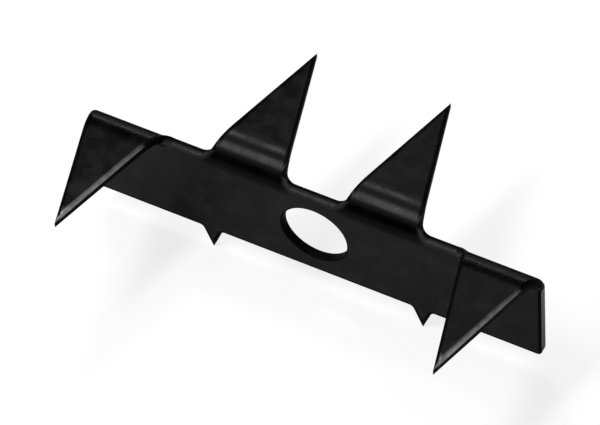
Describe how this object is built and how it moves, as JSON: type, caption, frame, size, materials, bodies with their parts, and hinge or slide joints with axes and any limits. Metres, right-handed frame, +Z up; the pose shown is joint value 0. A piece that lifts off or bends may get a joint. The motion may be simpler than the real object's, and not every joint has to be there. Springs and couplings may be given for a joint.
{
  "type": "hidden deck fastener",
  "caption": "Black folded sheet clip with pointed prongs to both sides, barbs below and a round screw hole, made to hold deck boards together out of sight.",
  "frame": {"origin": "middle of the screw hole, halfway through the sheet", "axes": "+X along the plate, +Y towards the board that is already laid, +Z up, away from the joist"},
  "size_m": [0.0508, 0.0308, 0.0161],
  "materials": {
    "black_coat": "thin satin black coat on sheet steel"
  },
  "bodies": {
    "root": {"deck_clip": "black_coat"}
  },
  "joints": []
}
